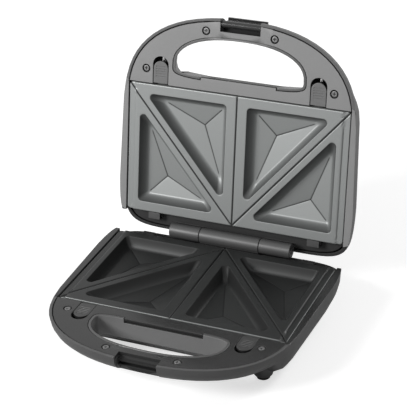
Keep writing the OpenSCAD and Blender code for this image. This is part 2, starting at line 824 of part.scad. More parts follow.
module lid_plate() { color("#8b9190") in_lid() plate_half(); }
module lid_heater() { color("#8a8a86") in_lid() heater_half(); }
module lid_tray() { color("#b9bcbe") in_lid() tray_half(); }
module lid_release_left() { in_lid() release(-1); }
module lid_release_right() { in_lid() release(1); }
module lid_spring_left() { in_lid() spring(-1); }
module lid_spring_right() { in_lid() spring(1); }
module lid_hook_left() { in_lid() hook(-1); }
module lid_hook_right() { in_lid() hook(1); }
module lid_screws() { color("#77797b") in_lid() at_screws() screw(); }

module latch_pin() { color("#b8bbbe") in_lid() pin_rod(latch_pin_r); }

// The clip folded back against the lid's nose, in the lid's own half
module latch_clip() {
  hook_top = latch_z + catch_z + play;     // from the pin to the hook's catching face
  hook_t = 2.6;
  color("#7c8082") in_lid() translate([-clip_w / 2, pin_y, -latch_z]) difference() {
    union() {
      rotate([0, 90, 0]) cylinder(r = clip_root_r, h = clip_w);
      translate([0, -clip_t / 2, -hook_top - hook_t]) cube([clip_w, clip_t, hook_top + hook_t]);
      translate([0, -clip_t / 2 - hook_reach + 0.6, -hook_top - hook_t])
        cube([clip_w, hook_reach, hook_t]);
    }
    translate([-1, 0, 0]) rotate([0, 90, 0]) cylinder(r = latch_pin_r + run_fit, h = clip_w + 2);
  }
}

module lens(s, tint) {
  color(tint) in_lid() translate([s * lamp_x, lamp_y, -half_h]) {
    translate([0, 0, -0.6]) cylinder(r1 = lamp_r - 0.8, r2 = lamp_r - 0.1, h = 0.7);
    cylinder(r = lamp_r, h = wall);
    translate([0, 0, wall]) cylinder(r = lamp_r + 1.5, h = 1);
  }
}

module lamp_lens_red() { lens(-1, "#c22a20"); }
module lamp_lens_green() { lens(1, "#2e9a48"); }

module lamp_bulbs() {
  color("#e6dcc8") in_lid() for (s = [-1, 1])
    translate([s * lamp_x, lamp_y, -half_h + wall + 1]) cylinder(r = 2.8, h = 4);
}

module thermal_fuse() {
  color("#c9c2b2") in_lid() translate([0, 20, tray_low - 2.5]) {
    translate([-9, 0, 0]) rotate([0, 90, 0]) cylinder(r = 2.5, h = 18);
    translate([-2, -6, 1.7]) cube([4, 12, 0.8]);
  }
}

base_shell();
base_frame();
base_plate();
base_heater();
base_tray();
base_release_left();
base_release_right();
base_spring_left();
base_spring_right();
base_hook_left();
base_hook_right();
base_screws();
foot_front_left();
foot_front_right();
foot_rear_left();
foot_rear_right();
cable_gland();
terminal_block();
thermostat();
hinge_pin();
lid_shell();
lid_frame();
lid_plate();
lid_heater();
lid_tray();
lid_release_left();
lid_release_right();
lid_spring_left();
lid_spring_right();
lid_hook_left();
lid_hook_right();
lid_screws();
latch_pin();
latch_clip();
lamp_lens_red();
lamp_lens_green();
lamp_bulbs();
thermal_fuse();
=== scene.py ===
# %% [markdown]
# # Dressing a sandwich toaster in Blender
# The toaster stands open: a base and a lid that mirror each other, each with a
# moulded housing, a lighter inner frame that carries half of the handle, and a
# cast cooking plate with four triangular cavities. The CAD model gives every
# piece its size and place. This lesson gives the pieces their finish and
# rebuilds the ones whose curves the CAD mesh only sketches.

# %% The frame and its box
import json
import math

import bmesh
import bpy
import numpy as np
from mathutils import Matrix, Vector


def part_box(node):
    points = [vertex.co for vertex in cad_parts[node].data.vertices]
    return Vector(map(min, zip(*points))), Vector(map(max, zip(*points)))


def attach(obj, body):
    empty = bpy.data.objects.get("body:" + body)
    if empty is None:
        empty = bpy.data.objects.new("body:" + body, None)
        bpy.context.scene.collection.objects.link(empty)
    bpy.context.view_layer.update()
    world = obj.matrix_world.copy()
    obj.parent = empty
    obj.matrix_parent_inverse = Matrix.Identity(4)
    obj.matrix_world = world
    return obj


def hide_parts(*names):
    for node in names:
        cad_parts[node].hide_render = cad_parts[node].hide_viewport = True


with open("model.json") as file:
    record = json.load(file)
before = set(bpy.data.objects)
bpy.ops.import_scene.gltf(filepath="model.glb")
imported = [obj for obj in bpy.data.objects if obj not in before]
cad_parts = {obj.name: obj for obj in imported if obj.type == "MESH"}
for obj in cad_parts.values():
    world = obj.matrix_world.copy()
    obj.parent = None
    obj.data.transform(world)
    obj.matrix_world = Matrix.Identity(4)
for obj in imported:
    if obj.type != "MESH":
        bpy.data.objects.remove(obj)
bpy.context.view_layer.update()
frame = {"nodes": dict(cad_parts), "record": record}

nodes = frame["nodes"]

# %% [markdown]
# ## The two halves share one drawing
# On the real toaster one set of moulds nearly serves both halves. So each half
# is drawn once, in millimetres, lying on its back: its parting plane is z = 0,
# its plate is centred on x = y = 0 and everything of it lies below z = 0. Two
# small functions then carry the points into the base or, turned about the
# hinge, into the open lid.

# %% Placing a half
MM = 0.001
PLATE_W, PLATE_D = 222.0, 127.0
HALF_W, HALF_D = PLATE_W / 2, PLATE_D / 2
FRONT = -HALF_D                       # the plate's front edge
HINGE_Y = HALF_D + 14.5
OPEN_ANGLE = math.radians(102)
pin_low, pin_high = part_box("hinge_pin")
PIN = np.array([0.0, (pin_low[1] + pin_high[1]) / 2, (pin_low[2] + pin_high[2]) / 2]) / MM
SHIFT_Y = PIN[1] - HINGE_Y
PARTING_Z = PIN[2]


def in_base(points):
    """Points of the half, moved to the base: only slid along Y and Z. Gives metres."""
    return (np.asarray(points, float) + [0, SHIFT_Y, PARTING_Z]) * MM


def in_lid(points):
    """Points of the half, mirrored in the parting plane and turned back about the hinge
    axis by the open angle: y' = y cos a + z sin a, z' = -y sin a + z cos a, both taken
    from the hinge. Gives metres."""
    p = np.asarray(points, float)
    y, z = p[..., 1] - HINGE_Y, -p[..., 2]
    c, s = math.cos(OPEN_ANGLE), math.sin(OPEN_ANGLE)
    return np.stack([p[..., 0], y * c + z * s + PIN[1], -y * s + z * c + PIN[2]], -1) * MM


def back_to_half(points, side):
    """The same the other way: world points of the base or the lid, in the half's mm."""
    p = np.asarray(points, float) / MM
    if side == "base":
        return p - [0, SHIFT_Y, PARTING_Z]
    y, z = p[..., 1] - PIN[1], p[..., 2] - PIN[2]
    c, s = math.cos(OPEN_ANGLE), math.sin(OPEN_ANGLE)
    return np.stack([p[..., 0], y * c - z * s + HINGE_Y, -(y * s + z * c)], -1)


def unit(v):
    """A vector, or each row of an array, drawn to length 1."""
    return v / np.linalg.norm(v, axis=-1, keepdims=True)


def smooth(t):
    """The S-curve 3t^2 - 2t^3 between 0 and 1."""
    t = np.clip(t, 0, 1)
    return t * t * (3 - 2 * t)


def turned(x, y, z, at):
    """The matrix that points an object's axes along x, y and z and puts it at a place."""
    matrix = np.eye(4)
    matrix[:3] = np.stack([x, y, z, at], -1)
    return Matrix(matrix.tolist())


print("hinge axis in mm:", PIN.round(2), "slid by", round(SHIFT_Y, 2))
round_trip = back_to_half(in_lid([[1, 2, 3]]), "lid") - [1, 2, 3]
print("there and back, off by mm:", np.abs(round_trip).max().round(6))

# %% [markdown]
# ## The camera
# The photograph looks at the open toaster from the front right and above,
# through a long lens. These numbers were fitted to the plates' corners, the
# screws and the handle's outline, so the render lines up with it.

# %% Camera
CAMERA_AT = PIN * MM + [0.5347, -1.2013, 0.7811]       # measured from the hinge
YAW, PITCH, ROLL = math.radians(25.04), math.radians(29.345), math.radians(-3.13)
FOCAL_PIXELS, FRAME_PIXELS, SENSOR = 1600.1, 407.0, 36


def aim_camera():
    """The view direction comes from yaw and pitch; right and up are turned by the roll."""
    look = np.array([-math.sin(YAW) * math.cos(PITCH),
                     math.cos(YAW) * math.cos(PITCH), -math.sin(PITCH)])
    right = unit(np.cross(look, [0, 0, 1]))
    up = np.cross(right, look)
    c, s = math.cos(ROLL), math.sin(ROLL)
    right, up = c * right + s * up, -s * right + c * up
    data = bpy.data.cameras.new("photo_camera")
    data.sensor_width = SENSOR
    data.lens = FOCAL_PIXELS / FRAME_PIXELS * SENSOR
    data.clip_start, data.clip_end = 0.05, 30
    camera = bpy.data.objects.new("photo_camera", data)
    bpy.context.scene.collection.objects.link(camera)
    camera.matrix_world = turned(right, up, -look, CAMERA_AT)
    bpy.context.scene.camera = camera
    return camera


camera = aim_camera()
print("lens:", round(camera.data.lens, 1), "mm")

# %% [markdown]
# ## Materials
# Nearly everything here is grey, so the finishes have to differ in gloss, grain
# and wear. A material in Blender is a tree of nodes. Adding and linking them by
# hand takes many lines, so a few short helpers do it: one adds a node and feeds
# it values or other nodes' outputs, one opens a node group, and the rest make the
# nodes used most often.

# %% Small helpers for shader nodes


def feed(tree, socket, value):
    """Sets an input to a value, or links another node's output to it."""
    if isinstance(value, bpy.types.NodeSocket):
        tree.links.new(value, socket)
    else:
        socket.default_value = value


def add(tree, kind, **settings):
    """A new node in the tree with its properties set and, by name, its inputs fed."""
    node = tree.nodes.new(kind)
    for name, value in settings.items():
        if hasattr(node, name):
            setattr(node, name, value)
        else:
            feed(tree, node.inputs[name.replace("_", " ")], value)
    return node


def maths(tree, operation, *values):
    """A maths node, its inputs fed in order. Gives its output."""
    node = add(tree, "ShaderNodeMath", operation=operation)
    for socket, value in zip(node.inputs, values):
        feed(tree, socket, value)
    return node.outputs[0]


def scaled(tree, colour, factor):
    """A colour times a factor."""
    return add(tree, "ShaderNodeVectorMath", operation="SCALE", Vector=colour,
               Scale=factor).outputs[0]


def group_with(name, inputs, outputs):
    """An empty node group with float or colour sockets, and its two end nodes."""
    tree = bpy.data.node_groups.new(name, "ShaderNodeTree")
    for label, kind, value in inputs:
        socket = tree.interface.new_socket(label, in_out="INPUT", socket_type=kind)
        socket.default_value = value
    for label, kind in outputs:
        tree.interface.new_socket(label, in_out="OUTPUT", socket_type=kind)
    return tree, tree.nodes.new("NodeGroupInput"), tree.nodes.new("NodeGroupOutput")


def noise(tree, where, scale, detail, rough=0.5):
    """Noise of so many ripples per metre at the object's own coordinates."""
    return add(tree, "ShaderNodeTexNoise", Vector=where, Scale=scale, Detail=detail,
               Roughness=rough).outputs["Fac"]


def bump(tree, height, strength, distance):
    """A normal that a height makes rough, by at most a distance in metres."""
    return add(tree, "ShaderNodeBump", Distance=distance, Strength=strength,
               Height=height).outputs["Normal"]


def remap(tree, value, low, high, to_low, to_high):
    """Maps a value from one range to another and clamps it."""
    return add(tree, "ShaderNodeMapRange", Value=value, From_Min=low, From_Max=high,
               To_Min=to_low, To_Max=to_high).outputs["Result"]


print("helpers ready")

# %% [markdown]
# Satin moulded plastic is never flat: the mould leaves a fine grain, and hands
# and handling leave it a little smoother in places. A picture of the grain would
# stretch and repeat, so two noises make it instead. One shader node group holds
# them for every plastic part, and for the bare metals with a coarser grain. It
# gives a colour, a roughness and a normal that change over the surface, and the
# Principled shader stays in each material.

# %% The grain of moulded plastic
FLOAT, COLOUR, VECTOR = "NodeSocketFloat", "NodeSocketColor", "NodeSocketVector"
RUB = 0.18                  # how far the roughness strays


def make_moulded_grain():
    """Colour = own colour * (1 + patchiness * (slow noise - 0.5)); roughness = own
    roughness + RUB * (slow noise - 0.5); normal = bump of a fine noise, the mould's
    spark-eroded grain."""
    tree, give, take = group_with(
        "moulded_grain",
        [("Colour", COLOUR, (0.1, 0.1, 0.1, 1)), ("Roughness", FLOAT, 0.5),
         ("Grain per metre", FLOAT, 2600.0), ("Grain height", FLOAT, 0.25),
         ("Patchiness", FLOAT, 0.08)],
        [("Colour", COLOUR), ("Roughness", FLOAT), ("Normal", VECTOR)])
    where = add(tree, "ShaderNodeTexCoord").outputs["Object"]
    centred = maths(tree, "SUBTRACT", noise(tree, where, 28.0, 3.0), 0.5)
    patches = maths(tree, "MULTIPLY_ADD", centred, give.outputs["Patchiness"], 1.0)
    feed(tree, take.inputs["Colour"], scaled(tree, give.outputs["Colour"], patches))
    rough = maths(tree, "MULTIPLY_ADD", centred, RUB, give.outputs["Roughness"])
    feed(tree, take.inputs["Roughness"], rough)
    fine = noise(tree, where, give.outputs["Grain per metre"], 3.0, 0.6)
    normal = bump(tree, fine, give.outputs["Grain height"], 0.00006)
    feed(tree, take.inputs["Normal"], normal)
    return tree


moulded_grain = make_moulded_grain()
print("group:", moulded_grain.name)

# %% [markdown]
# The coating on the plates is sprayed on and baked. It has a slight orange peel and pale
# mineral speckles far smaller than a millimetre.
# Its colour also carries painted shade: it is darker in the incised lines and on the steep
# walls of the relief, where little light reaches them.
# It also carries a painted highlight: it is lighter along the casting's outer edge.
# The surface carries these two masks itself, as attributes: "hollow" for the painted shade and
# one more for the painted highlight.
# Metal flake in the coating makes it reflect partly like a metal, which is why its walls look
# so dark or so bright beside its flat faces.

# %% The nonstick coating
MATT = 0.3                  # how much rougher the coating is where it is dark


def make_coating():
    """Colour = own colour * (1 - shade * hollow + speckle + edge * highlight mask): painted
    shade in the hollows and a painted highlight at the edge; roughness = own roughness + MATT
    * shade * hollow;
    normal = bump of a soft orange peel."""
    tree, give, take = group_with(
        "nonstick_coating",
        [("Colour", COLOUR, (0.1, 0.1, 0.1, 1)), ("Roughness", FLOAT, 0.4),
         ("Speckle", FLOAT, 0.12), ("Peel", FLOAT, 0.2), ("Shade", FLOAT, 0.6),
         ("Edge", FLOAT, 0.8)],
        [("Colour", COLOUR), ("Roughness", FLOAT), ("Normal", VECTOR)])
    where = add(tree, "ShaderNodeTexCoord").outputs["Object"]
    hollow, edge_highlight = (add(tree, "ShaderNodeAttribute", attribute_name=label).outputs["Fac"]
                      for label in ("hollow", "edge_highlight"))
    dots = noise(tree, where, 3200.0, 1.0)
    speckle = remap(tree, dots, 0.62, 0.74, 0.0, give.outputs["Speckle"])
    shade = maths(tree, "MULTIPLY", hollow, give.outputs["Shade"])
    bright = maths(tree, "ADD", maths(tree, "SUBTRACT", 1.0, shade), speckle)
    bright = maths(tree, "MULTIPLY_ADD", edge_highlight, give.outputs["Edge"], bright)
    feed(tree, take.inputs["Colour"], scaled(tree, give.outputs["Colour"], bright))
    rough = maths(tree, "MULTIPLY_ADD", shade, MATT, give.outputs["Roughness"])
    feed(tree, take.inputs["Roughness"], rough)
    peel = bump(tree, noise(tree, where, 900.0, 2.0), give.outputs["Peel"], 0.0001)
    feed(tree, take.inputs["Normal"], peel)
    return tree


coating = make_coating()
print("group:", coating.name)

# %% [markdown]
# Each material is then a Principled shader with one of the two groups beside it.
# The group feeds what changes over the surface. What is the same all over, such
# as how metallic a finish is, sits on the shader itself, where other programs
# that read the model find it.

# %% Building a material round a group


def finish_from(name, group, values, metallic=0.0, **own):
    """A material whose Principled shader takes colour, roughness and normal from the
    group, given its values; further constants sit on the shader itself."""
    material = bpy.data.materials.new(name)
    material.use_nodes = True
    tree = material.node_tree
    shader = tree.nodes["Principled BSDF"]
    effect = add(tree, "ShaderNodeGroup", node_tree=group)
    for label, value in values.items():
        effect.inputs[label].default_value = value
    for label, socket in (("Colour", "Base Color"), ("Roughness", "Roughness"),
                          ("Normal", "Normal")):
        tree.links.new(effect.outputs[label], shader.inputs[socket])
    shader.inputs["Metallic"].default_value = metallic
    for label, value in own.items():
        shader.inputs[label.replace("_", " ")].default_value = value
    return material


def grey(level, tint=(1.0, 1.0, 1.0)):
    """A grey of this brightness, multiplied by a faint tint."""
    return tuple(level * t for t in tint) + (1.0,)


def plastic(name, level, roughness, tint=(1, 1, 1), grain=0.25):
    """Moulded plastic or rubber of this grey."""
    return finish_from(name, moulded_grain,
                       {"Colour": grey(level, tint), "Roughness": roughness,
                        "Grain height": grain})


def metal(name, level, roughness, tint=(1, 1, 1), grain=0.15):
    """Bare or plated metal: a coarser, lower grain and stronger patches."""
    return finish_from(name, moulded_grain,
                       {"Colour": grey(level, tint), "Roughness": roughness,
                        "Grain height": grain, "Grain per metre": 1500.0,
                        "Patchiness": 0.3}, metallic=1.0)


print("a mid grey:", grey(0.2))

# %% [markdown]
# The photograph fixes the greys that it shows. The handle faces are satin and one plastic. The
# lid's is given a light grey, which is painted light, and the base's is nearly black, which is
# painted shade, and smooth enough to mirror the lid. The two plates' coating is split the same
# way.
# Seams, the well behind a plate and the walls of the notch lie in shade. They get a plastic
# that is almost black, which is painted shade, because the soft light of the scene would fill
# them too much.

# %% The finishes
COOL = (0.97, 1.0, 1.02)
SAGE = (0.965, 1.0, 0.99)
base_housing = plastic("base_housing_plastic", 0.07, 0.38)
lid_housing = plastic("lid_housing_plastic", 0.11, 0.4)
# painted light and painted shade: one plastic, lighter in the lid's handle face and nearly
# black in the base's
base_face = plastic("base_face_plastic", 0.014, 0.24)
lid_face = plastic("lid_face_plastic", 0.24, 0.5)
# painted shade: a near-black plastic for seams, recesses, screw crosses and the well behind a
# plate
shade_plastic = plastic("painted_shade_plastic", 0.006, 0.6)
# painted light: a lighter grey of the housing plastic for the opening's wall, where it catches
# the lamp
collar_painted_light = plastic("collar_painted_light", 0.17, 0.34)
knuckle_plastic = plastic("knuckle_plastic", 0.08, 0.4)
base_tab = plastic("base_tab_plastic", 0.03, 0.4)
lid_tab = plastic("lid_tab_plastic", 0.14, 0.5)
clip_plastic = plastic("clip_plastic", 0.02, 0.16, grain=0.05)
rubber = plastic("foot_rubber", 0.02, 0.75, grain=0.5)
gland_rubber = plastic("gland_plastic", 0.02, 0.6)
block = plastic("cream_block", 0.6, 0.6, (1.0, 0.95, 0.82))
bulb = plastic("lamp_capsule", 0.7, 0.4, (1.0, 0.93, 0.8))
tube = metal("heated_tube", 0.35, 0.5, (1.0, 0.96, 0.9))
sheet = metal("tray_sheet", 0.62, 0.35)
dark_zinc = metal("dark_zinc", 0.12, 0.4)
screw_black = metal("black_screws", 0.2, 0.4)
drawn_steel = metal("drawn_steel", 0.6, 0.3, COOL)
spring_steel = metal("spring_steel", 0.6, 0.25)
# painted light and painted shade: one coating, light grey in the lid and nearly black in the
# base, where a large Edge also paints a bright highlight line
lid_coating = finish_from("lid_plate_coating", coating,
                          {"Colour": grey(0.28, SAGE), "Roughness": 0.42, "Edge": 0.4,
                           "Shade": 0.95}, metallic=0.4)
base_coating = finish_from("base_plate_coating", coating,
                           {"Colour": grey(0.026, SAGE), "Roughness": 0.38, "Edge": 6.0,
                            "Shade": 0.85}, metallic=0.5)
print("materials:", len(bpy.data.materials))

# %% [markdown]
# The indicator lenses are clear coloured plastic: light goes in, picks up the
# colour and comes out again. A Principled shader with a fixed transmission
# weight does that, and the colour keeps the faint patches of the moulded grain.

# %% Lenses


def lens_finish(name, colour):
    """Clear plastic of this colour, polished, with the index of acrylic."""
    return finish_from(name, moulded_grain,
                       {"Colour": colour + (1.0,), "Roughness": 0.12,
                        "Grain height": 0.02, "Patchiness": 0.15},
                       Transmission_Weight=0.6, IOR=1.49)


red_lens = lens_finish("red_lens", (0.75, 0.05, 0.03))
green_lens = lens_finish("green_lens", (0.06, 0.6, 0.15))
print("lenses:", red_lens.name, green_lens.name)

# %% [markdown]
# ## Softened copies of the CAD pieces
# A moulded edge is never knife sharp: it is rounded by a few tenths of a
# millimetre and catches a thin line of light. Most of the CAD pieces have the
# right shape, so each is copied, its loose triangles are merged and joined into
# flat faces, its hard edges get a small round, and the copy stands in for it.
# Every piece has to ride on the body of the CAD node it stands in for, and that node
# has to be hidden, so one function does both for all.

# %% Putting a piece in the scene
BODY = {name: body for body, names in frame["record"]["behaviour"]["bodies"].items()
        for name in names}


def new_object(name, mesh, node):
    """Puts a mesh in the scene: it stands for the node, on that node's body."""
    piece = bpy.data.objects.new(name, mesh)
    bpy.context.scene.collection.objects.link(piece)
    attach(piece, BODY[node])
    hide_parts(node)
    return piece


# %% [markdown]
# One moulding can show more than one finish: a face that is polished, an edge in
# the shade of its seam, which gets painted shade, a wall that was left smooth and gets painted
# light.
# Cutting the mesh up would leave gaps, so a function sorts a copy's faces into zones instead,
# each with its own material. It sees every face's centre and its normal, both in the half's
# own millimetres, where a zone is a plain comparison of numbers.

# %% Zones of the small pieces
SIDE_UP, FACE_UP = 0.3, 0.95          # a normal's z below which a face counts as a side
BARREL_REACH = 7.6                    # just outside the hinge knuckles
SCREW_FACE = 0.25                     # a screw's cross starts this far below its face
UNDER_FACE = -5.0                     # deeper than the handle face's edge


def edge_zones(half, facing):
    """0 for a tab's face, 1 for its sides, which stand in the shade of the gap."""
    return np.where(facing[:, 2] < SIDE_UP, 1, 0)


def screw_zones(half, facing):
    """0 for a screw's head, 1 for its cross and all that lies below the head's face, which get
    painted shade.
    """
    return np.where(half[:, 2] < half[:, 2].max() - SCREW_FACE, 1, 0)


def frame_zones(half, facing):
    """0 for the handle face, 1 for its edges and the rail, which get painted shade, 2 for the
    hinge knuckles.
    """
    behind = half[:, 1] > FRONT - 1.0
    edge = facing[:, 2] < FACE_UP
    barrel = np.hypot(half[:, 1] - HINGE_Y, half[:, 2]) < BARREL_REACH
    return np.where(barrel, 2, np.where(behind | edge | (half[:, 2] < UNDER_FACE), 1, 0))


print("knuckle found:", frame_zones(np.array([[0, HINGE_Y, 7.2]]), np.eye(3)[2:])[0] == 2)

# %% [markdown]
# The housing has most zones. Three places lie in the shade and get painted shade, a near-black
# plastic: the well behind the plate, the wall of the notch in the nose, and the wall along the
# seam, which faces a point on the plate. The collar's wall round the finger opening is smooth
# and catches the lamp: it gets painted light, a lighter grey of the housing plastic.
# The rim beside the plate takes the handle face's grey, which is painted light in the lid and
# painted shade in the base.

# %% Zones of a housing
COLLAR_W, COLLAR_D, COLLAR_AT = 70.0, 26.0, 32.5    # half width and depth, place in front
SEAM_FACES = 20.0                     # behind the plate's front edge
NOTCH_W, NOTCH_FROM, NOSE_REACH = 14.5, 54.0, 72.0
RIM_LOW, SEAM_LOW, NOTCH_TOP = -4.0, -6.0, -1.2    # heights z where a zone ends


def shell_zones(half, facing):
    """0 for the housing, 1 for the rim beside the plate, which takes the handle face's grey
    (painted light in the lid, painted shade in the base), 2 for painted shade where the
    housing stays in shade, and 3 for the collar's wall, painted light, inside the oval
    |x/70|^4 + |y/26|^4 = 1."""
    x, y, z = half.T
    up = facing[:, 2]
    rim = (np.abs(x) > HALF_W + 0.2) & (np.abs(y + 1) < HALF_D + 2) & (z > RIM_LOW)
    inward = (facing[:, 1] < -0.3) | (facing[:, 0] * np.sign(x) < -0.3) | (up > 0.5)
    well = (y > HALF_D) & inward
    collar = (x / COLLAR_W) ** 4 + ((y - FRONT + COLLAR_AT) / COLLAR_D) ** 4 < 1
    aim = unit(-np.stack([x, y - FRONT - SEAM_FACES], -1))
    seam = ((aim * facing[:, :2]).sum(1) > 0.25) & (y < FRONT) & (z > SEAM_LOW)
    notch = (np.abs(x) < NOTCH_W) & (y < FRONT - NOTCH_FROM) & (z < NOTCH_TOP) & (up > -0.3)
    notch &= np.hypot(x / 2, y - FRONT) < NOSE_REACH
    zone = np.where(rim & (up > 0.1), 1, np.where(well | seam | notch, 2, 0))
    return np.where(collar & (np.abs(up) < 0.7), 3, zone)


print("rim found:", shell_zones(np.array([[113.0, 0, -1]]), np.eye(3)[2:])[0] == 1)

# %% [markdown]
# The wall of the lid's finger opening leans outwards a little, as a moulding's
# does that has to leave its mould. Points of the copy move along the normal of
# the opening's outline, more the deeper they lie. The screw bosses stay upright.

# %% The leaning wall of the opening
OPENING_W, OPENING_FRONT, OPENING_REAR = 64.0, 29.26, 8.74    # half width, reach in y
OPENING_AT = FRONT - 13.5 - OPENING_REAR
FRONT_POWER, REAR_POWER = 2.3, 4.5    # how squarish the outline is
LEAN, LEAN_DEPTH = 7.0, 17.0
FADE_FROM, FADE_OVER, FREE = 3.0, 6.0, -1.0    # from the outline; within FREE none moves
INNER_SCREW, BOSS_R = (34.0, FRONT - 58), 4.6


def leaning(half):
    """Each point moves by LEAN * smooth(depth / LEAN_DEPTH) along the normal of the
    outline |x/a|^n + |y/b|^n = 1. Further out than FADE_FROM the move fades."""
    x, y = half[:, 0], half[:, 1] - OPENING_AT
    front = y < 0
    b = np.where(front, OPENING_FRONT, OPENING_REAR)
    n = np.where(front, FRONT_POWER, REAR_POWER)
    u, v = np.abs(x) / OPENING_W, np.abs(y) / b
    grown = (u ** n + v ** n) ** (1 / n)
    normal = np.stack([u ** (n - 1) / OPENING_W * np.sign(x), v ** (n - 1) / b * np.sign(y)],
                      -1)
    normal /= np.linalg.norm(normal, axis=1)[:, None] + 1e-12
    away = (1 - 1 / np.maximum(grown, 1e-6)) * np.hypot(x, y)
    near = np.clip(1 - (away - FADE_FROM) / FADE_OVER, 0, 1) * (away > FREE)
    boss = np.hypot(np.abs(x) - INNER_SCREW[0], half[:, 1] - INNER_SCREW[1]) < BOSS_R
    move = LEAN * near * smooth(-half[:, 2] / LEAN_DEPTH) * ~boss
    return half + np.concatenate([normal * move[:, None], np.zeros((len(half), 1))], 1)


deep = leaning(np.array([[-OPENING_W, OPENING_AT, -LEAN_DEPTH]]))
print("deep in the opening the wall stands out by mm:", (-OPENING_W - deep[0, 0]).round(2))

# %% [markdown]
# A few places have steps too small for a round: it would throw spikes. They are
# named here, and their edges stay sharp.

# %% Edges to spare
NOSE_W, NOSE_FROM = 26.0, 52.0        # half width, distance in front of the plate
RIM_FROM, RIM_END = 105.0, 6.0


def at_nose(half):
    """True near the latch's notch."""
    return (np.abs(half[:, 0]) < NOSE_W) & (half[:, 1] < FRONT - NOSE_FROM)


def at_steps(half):
    """True at the nose and at the front ends of the rims beside the plate."""
    rim_end = (np.abs(half[:, 0]) > RIM_FROM) & (np.abs(half[:, 1] - FRONT) < RIM_END)
    return at_nose(half) | rim_end


print("spared at the nose:", at_nose(np.array([[0, FRONT - 60, 0]]))[0])

# %% [markdown]
# The rounding itself uses bmesh, Blender's tool for editing a mesh in code. An
# edge that turns by less than the hard angle is only a facet of a curve. It isn't
# rounded, but shaded smooth. The last step weights the normals by the size of the
# faces, so that a large flat face stays flat to its border.

# %% Softening a node
HARD = 34.0                           # degrees
WELD, FLAT = 2e-6, 0.4                # metres between doubles, degrees within a face


def round_edges(work, width, side, spare):
    """Rounds the hard edges of a bmesh to a width in mm, except the spared ones."""
    hard = [e for e in work.edges
            if e.is_manifold and e.calc_face_angle(0) > math.radians(HARD)]
    if spare:
        middles = np.array([(e.verts[0].co + e.verts[1].co) / 2 for e in hard])
        stays = spare(back_to_half(middles, side))
        hard = [e for e, stay in zip(hard, stays) if not stay]
    bmesh.ops.bevel(work, geom=hard, offset=width * MM, offset_type="OFFSET",
                    segments=2, profile=0.5, affect="EDGES", clamp_overlap=False)


def reshape(mesh, side, shape):
    """Moves a mesh's points by a function that works in the half's millimetres."""
    spots = np.empty(len(mesh.vertices) * 3, np.float32)
    mesh.vertices.foreach_get("co", spots)
    place = in_base if side == "base" else in_lid
    moved = place(shape(back_to_half(spots.reshape(-1, 3), side)))
    mesh.vertices.foreach_set("co", moved.astype(np.float32).ravel())


def paint_zones(mesh, side, zones):
    """Gives each face the material of its zone. A normal is carried over to the half
    as the difference of two points, one of them a millimetre along it."""
    centres, normals = (np.empty(len(mesh.polygons) * 3, np.float32) for _ in range(2))
    mesh.polygons.foreach_get("center", centres)
    mesh.polygons.foreach_get("normal", normals)
    half = back_to_half(centres.reshape(-1, 3), side)
    facing = back_to_half(centres.reshape(-1, 3) + normals.reshape(-1, 3) * MM, side) - half
    mesh.polygons.foreach_set("material_index", zones(half, facing).astype(np.int32))


def softened(node, materials, width, zones=None, shape=None, spare=None):
    """A copy of a CAD node, its hard edges rounded to a width in mm. Zones is a function
    that gives each face a material, shape one that moves points of the half, and spare
    one that says which edges stay as they are."""
    side = node.split("_")[0]
    work = bmesh.new()
    work.from_mesh(nodes[node].data)
    bmesh.ops.remove_doubles(work, verts=work.verts, dist=WELD)
    bmesh.ops.dissolve_limit(work, angle_limit=math.radians(FLAT), verts=work.verts,
                             edges=work.edges)
    round_edges(work, width, side, spare)
    bmesh.ops.triangulate(work, faces=[f for f in work.faces if len(f.verts) > 4])
    mesh = bpy.data.meshes.new(node + "_soft")
    work.to_mesh(mesh)
    work.free()
    if shape:
        reshape(mesh, side, shape)
    mesh.shade_smooth()
    mesh.set_sharp_from_angle(angle=math.radians(HARD))
    for material in materials:
        mesh.materials.append(material)
    if zones:
        paint_zones(mesh, side, zones)
    piece = new_object(node + "_soft", mesh, node)
    piece.modifiers.new("even_normals", "WEIGHTED_NORMAL").keep_sharp = True
    return piece


print("edges that turn by more than", HARD, "degrees get a round")

# %% [markdown]
# The widths are what such edges have: half a millimetre round the handle faces,
# where the seam shows as a dark line of painted shade, less on the housings, and hardly any on
# sheet metal and screws. The collar's wall leans in the lid alone. In the
# photograph the base's opening shows more of its wall.

# %% The softened pieces
soft_pieces = []
for side, shell, face, tab in (("base", base_housing, base_face, base_tab),
                               ("lid", lid_housing, lid_face, lid_tab)):
    soft_pieces += [softened(side + "_shell", [shell, face, shade_plastic, collar_painted_light],
                             0.3, shell_zones, leaning if side == "lid" else None, at_steps),
                    softened(side + "_frame", [face, shade_plastic, knuckle_plastic], 0.5,
                             frame_zones, spare=at_nose),
                    softened(side + "_screws", [screw_black, shade_plastic], 0.1,
                             screw_zones)]
    for hand in ("left", "right"):
        soft_pieces += [softened(f"{side}_release_{hand}", [tab, shade_plastic], 0.25,
                                 edge_zones),
                        softened(f"{side}_hook_{hand}", [dark_zinc], 0.12)]
soft_pieces.append(softened("latch_clip", [clip_plastic], 0.3))
print("softened:", len(soft_pieces), "faces:", sum(len(p.data.polygons) for p in soft_pieces))

# %% [markdown]
# The rest is right as the CAD model has it, from the pins and the feet to what
# the toaster holds inside. These nodes stay and only get their finish.

